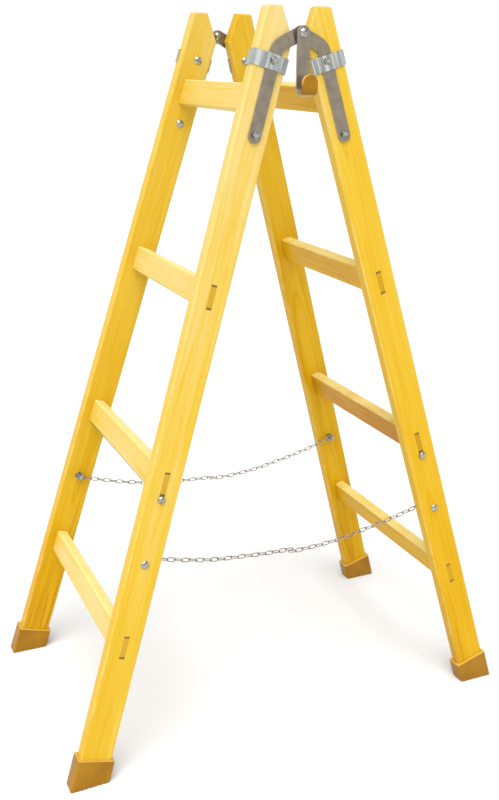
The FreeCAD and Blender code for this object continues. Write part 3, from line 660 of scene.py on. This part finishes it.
def piece(name, shape, material, body, replaced):
    """A finished mesh as a smooth shaded piece on a body, in place of a CAD node."""
    mesh = bpy.data.meshes.new(name)
    bmesh.ops.recalc_face_normals(shape, faces=shape.faces)
    shape.to_mesh(mesh)
    shape.free()
    mesh.shade_smooth()
    mesh.materials.append(material)
    made = bpy.data.objects.new(name, mesh)
    scene.collection.objects.link(made)
    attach(made, body)
    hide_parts(replaced)
    return made


def bridge(shape, rings):
    """Skin a closed loop of equally long vertex rings with quads."""
    count = len(rings[0])
    for ring, following in zip(rings, rings[1:] + rings[:1]):
        for i in range(count):
            j = (i + 1) % count
            shape.faces.new((ring[i], ring[j], following[j], following[i]))


LINK_ARC_STEPS = 9
LINK_STRAIGHT_STEPS = 6
WIRE_SIDES = 10
WELD_BEAD = 0.20              # how much thicker the wire is at its weld
WELD_WIDTH = 0.55 * MM


def link_path(straight, arc_r):
    """Points, outward directions and weld nearness round a flat oval link."""
    path = []
    for side in (1, -1):
        for i in range(LINK_STRAIGHT_STEPS):
            x = side * straight * (0.5 - i / LINK_STRAIGHT_STEPS)
            weld = math.exp(-(x / WELD_WIDTH) ** 2) if side == 1 else 0.0
            path.append((Vector((x, side * arc_r, 0)), Vector((0, side, 0)), weld))
        for i in range(LINK_ARC_STEPS):
            angle = math.pi * i / LINK_ARC_STEPS
            out = Vector((-side * math.sin(angle), side * math.cos(angle), 0))
            path.append((Vector((-side * straight / 2, 0, 0)) + out * arc_r, out, 0.0))
    return path


def add_link(shape, centre, axes, extents, weld_side):
    """One oval wire link that fills the space of a CAD link."""
    length, width, wire = (float(extent) for extent in extents)
    wire_r = wire / 2
    turn = Matrix([[float(value) for value in row] for row in axes])
    rings = []
    for point, out, weld in link_path(length - width, width / 2 - wire_r):
        radius = wire_r * (1 + WELD_BEAD * weld)
        ring = []
        for i in range(WIRE_SIDES):
            angle = 2 * math.pi * i / WIRE_SIDES
            at = point + radius * (math.cos(angle) * out + math.sin(angle) * Vector((0, 0, 1)))
            at = Vector((at.x, at.y * weld_side, at.z * weld_side))
            ring.append(shape.verts.new(Vector(centre) + turn @ at))
        rings.append(ring)
    bridge(shape, rings)


def chains():
    """The four chain halves as smooth welded links."""
    rng = random.Random(5)
    for side in SIDES:
        for which in FRAMES:
            node = f"chain_{side}_{which}"
            shape = bmesh.new()
            for points in loose_parts(node):
                add_link(shape, *own_axes(points), rng.choice((-1, 1)))
            piece(f"{node}_links", shape, chain_zinc, node, node)


NUT_ANGLES = 48
NUT_CHAMFER = math.tan(math.radians(28))
NUT_LAND_R = NUT_FLATS / 2 * 0.97
THREAD_R = 2.62 * MM          # a nut's bore at the crests of its thread
SINK_DEPTH = 0.7 * MM         # countersink at the mouths of the bore
SINK_WIDTH = 0.55 * MM
NUT_EDGE = 0.18 * MM
NUT_SHARP_FROM = 22           # degrees


def add_nut(shape, centre, axis, height, turn):
    """Hexagon nut with both faces turned to a chamfer and a countersunk bore."""
    place = Matrix.Translation(centre) @ axis.to_track_quat("Z", "X").to_matrix().to_4x4()
    top = height / 2
    rings = []
    for face in (1, -1):
        bore, mouth, land, corner = [], [], [], []
        for i in range(NUT_ANGLES):
            angle = 2 * math.pi * i / NUT_ANGLES
            across = (angle + math.pi / 6) % (math.pi / 3) - math.pi / 6
            hex_r = NUT_FLATS / 2 / math.cos(across)
            drop = (hex_r - NUT_LAND_R) * NUT_CHAMFER
            out = Vector((math.cos(angle + turn), math.sin(angle + turn), 0))
            spots = ((bore, THREAD_R, top - SINK_DEPTH), (mouth, THREAD_R + SINK_WIDTH, top),
                     (land, NUT_LAND_R, top), (corner, hex_r, top - drop))
            for ring, radius, z in spots:
                ring.append(shape.verts.new(place @ (radius * out + Vector((0, 0, face * z)))))
        rings += [bore, mouth, land, corner][::face]
    bridge(shape, rings)


def nuts():
    """The hexagon nuts of both frames, each turned by chance."""
    rng = random.Random(8)
    for which in FRAMES:
        for part in ("hinge_nuts", "chain_nuts"):
            node = f"{which}_{part}"
            shape = bmesh.new()
            for points in loose_parts(node):
                side = "near" if points[:, 1].mean() < 0 else "far"
                axis = board_matrix(which, side).to_3x3().col[1].normalized()
                along = points @ numpy.array(axis)
                centre = Vector((points.min(axis=0) + points.max(axis=0)) / 2)
                height = float(along.max() - along.min())
                add_nut(shape, centre, axis, height, rng.uniform(0, math.pi))
            made = piece(f"{node}_turned", shape, dull_zinc, f"{which}_frame", node)
            round_edges(made, "edges", NUT_EDGE, 2, NUT_SHARP_FROM)


dress_wood()
dress_plastic()
dress_metal()
chains()
nuts()

# ---------------------------------------------------------------- floor, light and camera
FLOOR_COLOUR = (0.70, 0.70, 0.70)
FLOOR_REACH = 60.0
HORIZON = (0.14, 1.0)         # height and grey of the studio walls, then overhead
OVERHEAD = (0.5, 0.42)
STUDIO_STRENGTH = 1.06

EYE = Vector((-0.6864, -1.4759, 1.0793))
HEADING = math.radians(65.306)
DOWN = math.radians(18.766)
ROLL = math.radians(0.802)
SENSOR = 36.0                 # mm
LENS = 44.487                 # mm
SHIFT_X = 0.004625
SHIFT_Y = -0.0015


def floor():
    """A wide pale floor."""
    mesh = bpy.data.meshes.new("floor")
    corners = [(x * FLOOR_REACH, y * FLOOR_REACH, 0) for x, y in ((-1, -1), (1, -1), (1, 1), (-1, 1))]
    mesh.from_pydata(corners, [], [(0, 1, 2, 3)])
    ground = bpy.data.objects.new("floor", mesh)
    scene.collection.objects.link(ground)
    t = Tree("pale_floor")
    t.set(Base_Color=FLOOR_COLOUR, Roughness=0.9, Specular_IOR_Level=0.0)
    mesh.materials.append(t.material)


def soft_sun(name, direction, strength, spread):
    """A very soft distant light that shines along a direction."""
    data = bpy.data.lights.new(name, "SUN")
    data.energy = strength * math.pi
    data.angle = math.radians(spread)
    lamp = bpy.data.objects.new(name, data)
    scene.collection.objects.link(lamp)
    lamp.rotation_euler = Vector(direction).to_track_quat("-Z", "Y").to_euler()


def surroundings():
    """White studio walls along the horizon, dimmer overhead."""
    world = bpy.data.worlds.new("studio")
    world.use_nodes = True
    scene.world = world
    tree = world.node_tree
    background = tree.nodes["Background"]
    where = tree.nodes.new("ShaderNodeTexCoord")
    split = tree.nodes.new("ShaderNodeSeparateXYZ")
    ramp = tree.nodes.new("ShaderNodeValToRGB")
    tree.links.new(where.outputs["Generated"], split.inputs[0])
    tree.links.new(split.outputs["Z"], ramp.inputs[0])
    tree.links.new(ramp.outputs[0], background.inputs["Color"])
    for element, (height, grey) in zip(ramp.color_ramp.elements, (HORIZON, OVERHEAD)):
        element.position = height
        element.color = (grey, grey, grey, 1)
    background.inputs["Strength"].default_value = STUDIO_STRENGTH


def camera():
    """The camera, from its place, heading, tilt and roll."""
    flat = math.cos(DOWN)
    forward = Vector((flat * math.cos(HEADING), flat * math.sin(HEADING), -math.sin(DOWN)))
    level = Vector((math.sin(HEADING), -math.cos(HEADING), 0))
    above = level.cross(forward)
    right = math.cos(ROLL) * level + math.sin(ROLL) * above
    up = -math.sin(ROLL) * level + math.cos(ROLL) * above
    data = bpy.data.cameras.new("camera")
    data.sensor_width = SENSOR
    data.lens = LENS
    data.shift_x = SHIFT_X
    data.shift_y = SHIFT_Y
    eye = bpy.data.objects.new("camera", data)
    scene.collection.objects.link(eye)
    turn = Matrix((right, up, -forward)).transposed().to_4x4()
    eye.matrix_world = Matrix.Translation(EYE) @ turn
    scene.camera = eye


floor()
surroundings()
soft_sun("key", (0.30, 0.42, -0.86), 1.05, 50)
soft_sun("top", (0.0, 0.0, -1.0), 0.30, 90)
camera()
scene.view_settings.view_transform = "Standard"
